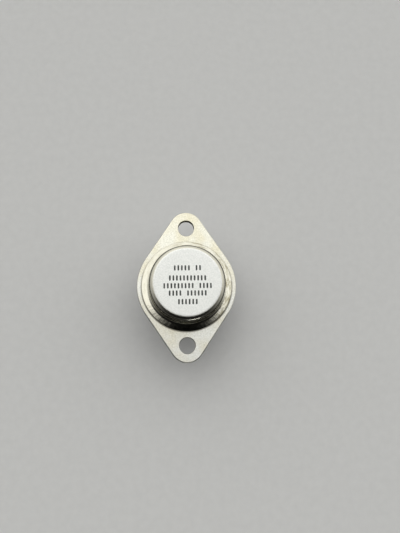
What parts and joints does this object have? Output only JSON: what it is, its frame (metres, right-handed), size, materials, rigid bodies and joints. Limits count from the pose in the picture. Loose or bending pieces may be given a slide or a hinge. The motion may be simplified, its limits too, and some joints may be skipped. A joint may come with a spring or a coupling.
{
  "type": "power transistor",
  "caption": "Metal-can power transistor: oval steel header with mounting holes, round welded cap with a brim, and glass-sealed leads below.",
  "frame": {"origin": "centre of the header's flat underside, the seating face, halfway between the two mounting holes", "axes": "+Z out through the cap's top, with the leads pointing along -Z. +Y along the header's length, towards the mounting hole nearer the leads. +X across the header, towards the emitter lead"},
  "size_m": [0.0254, 0.0386, 0.0204],
  "materials": {
    "nickel_plated_header": "satin nickel plate",
    "nickel_plated_cap": "satin nickel plate on top, polished by drawing on the wall and brim",
    "plated_lead": "plated wire",
    "seal_glass": "fused dark glass",
    "soft_solder": "dull solder",
    "copper": "bare copper",
    "silicon": "metallised silicon",
    "aluminium_wire": "bright wire",
    "silicone_coating": "cast silicone"
  },
  "bodies": {
    "root": {"header": "nickel_plated_header", "cap": "nickel_plated_cap", "base_lead": "plated_lead", "emitter_lead": "plated_lead", "base_glass_seal": "seal_glass", "emitter_glass_seal": "seal_glass", "spreader_braze": "soft_solder", "heat_spreader": "copper", "chip_solder": "soft_solder", "chip": "silicon", "base_wire": "aluminium_wire", "emitter_wire_1": "aluminium_wire", "emitter_wire_2": "aluminium_wire", "junction_coating": "silicone_coating"}
  },
  "joints": []
}
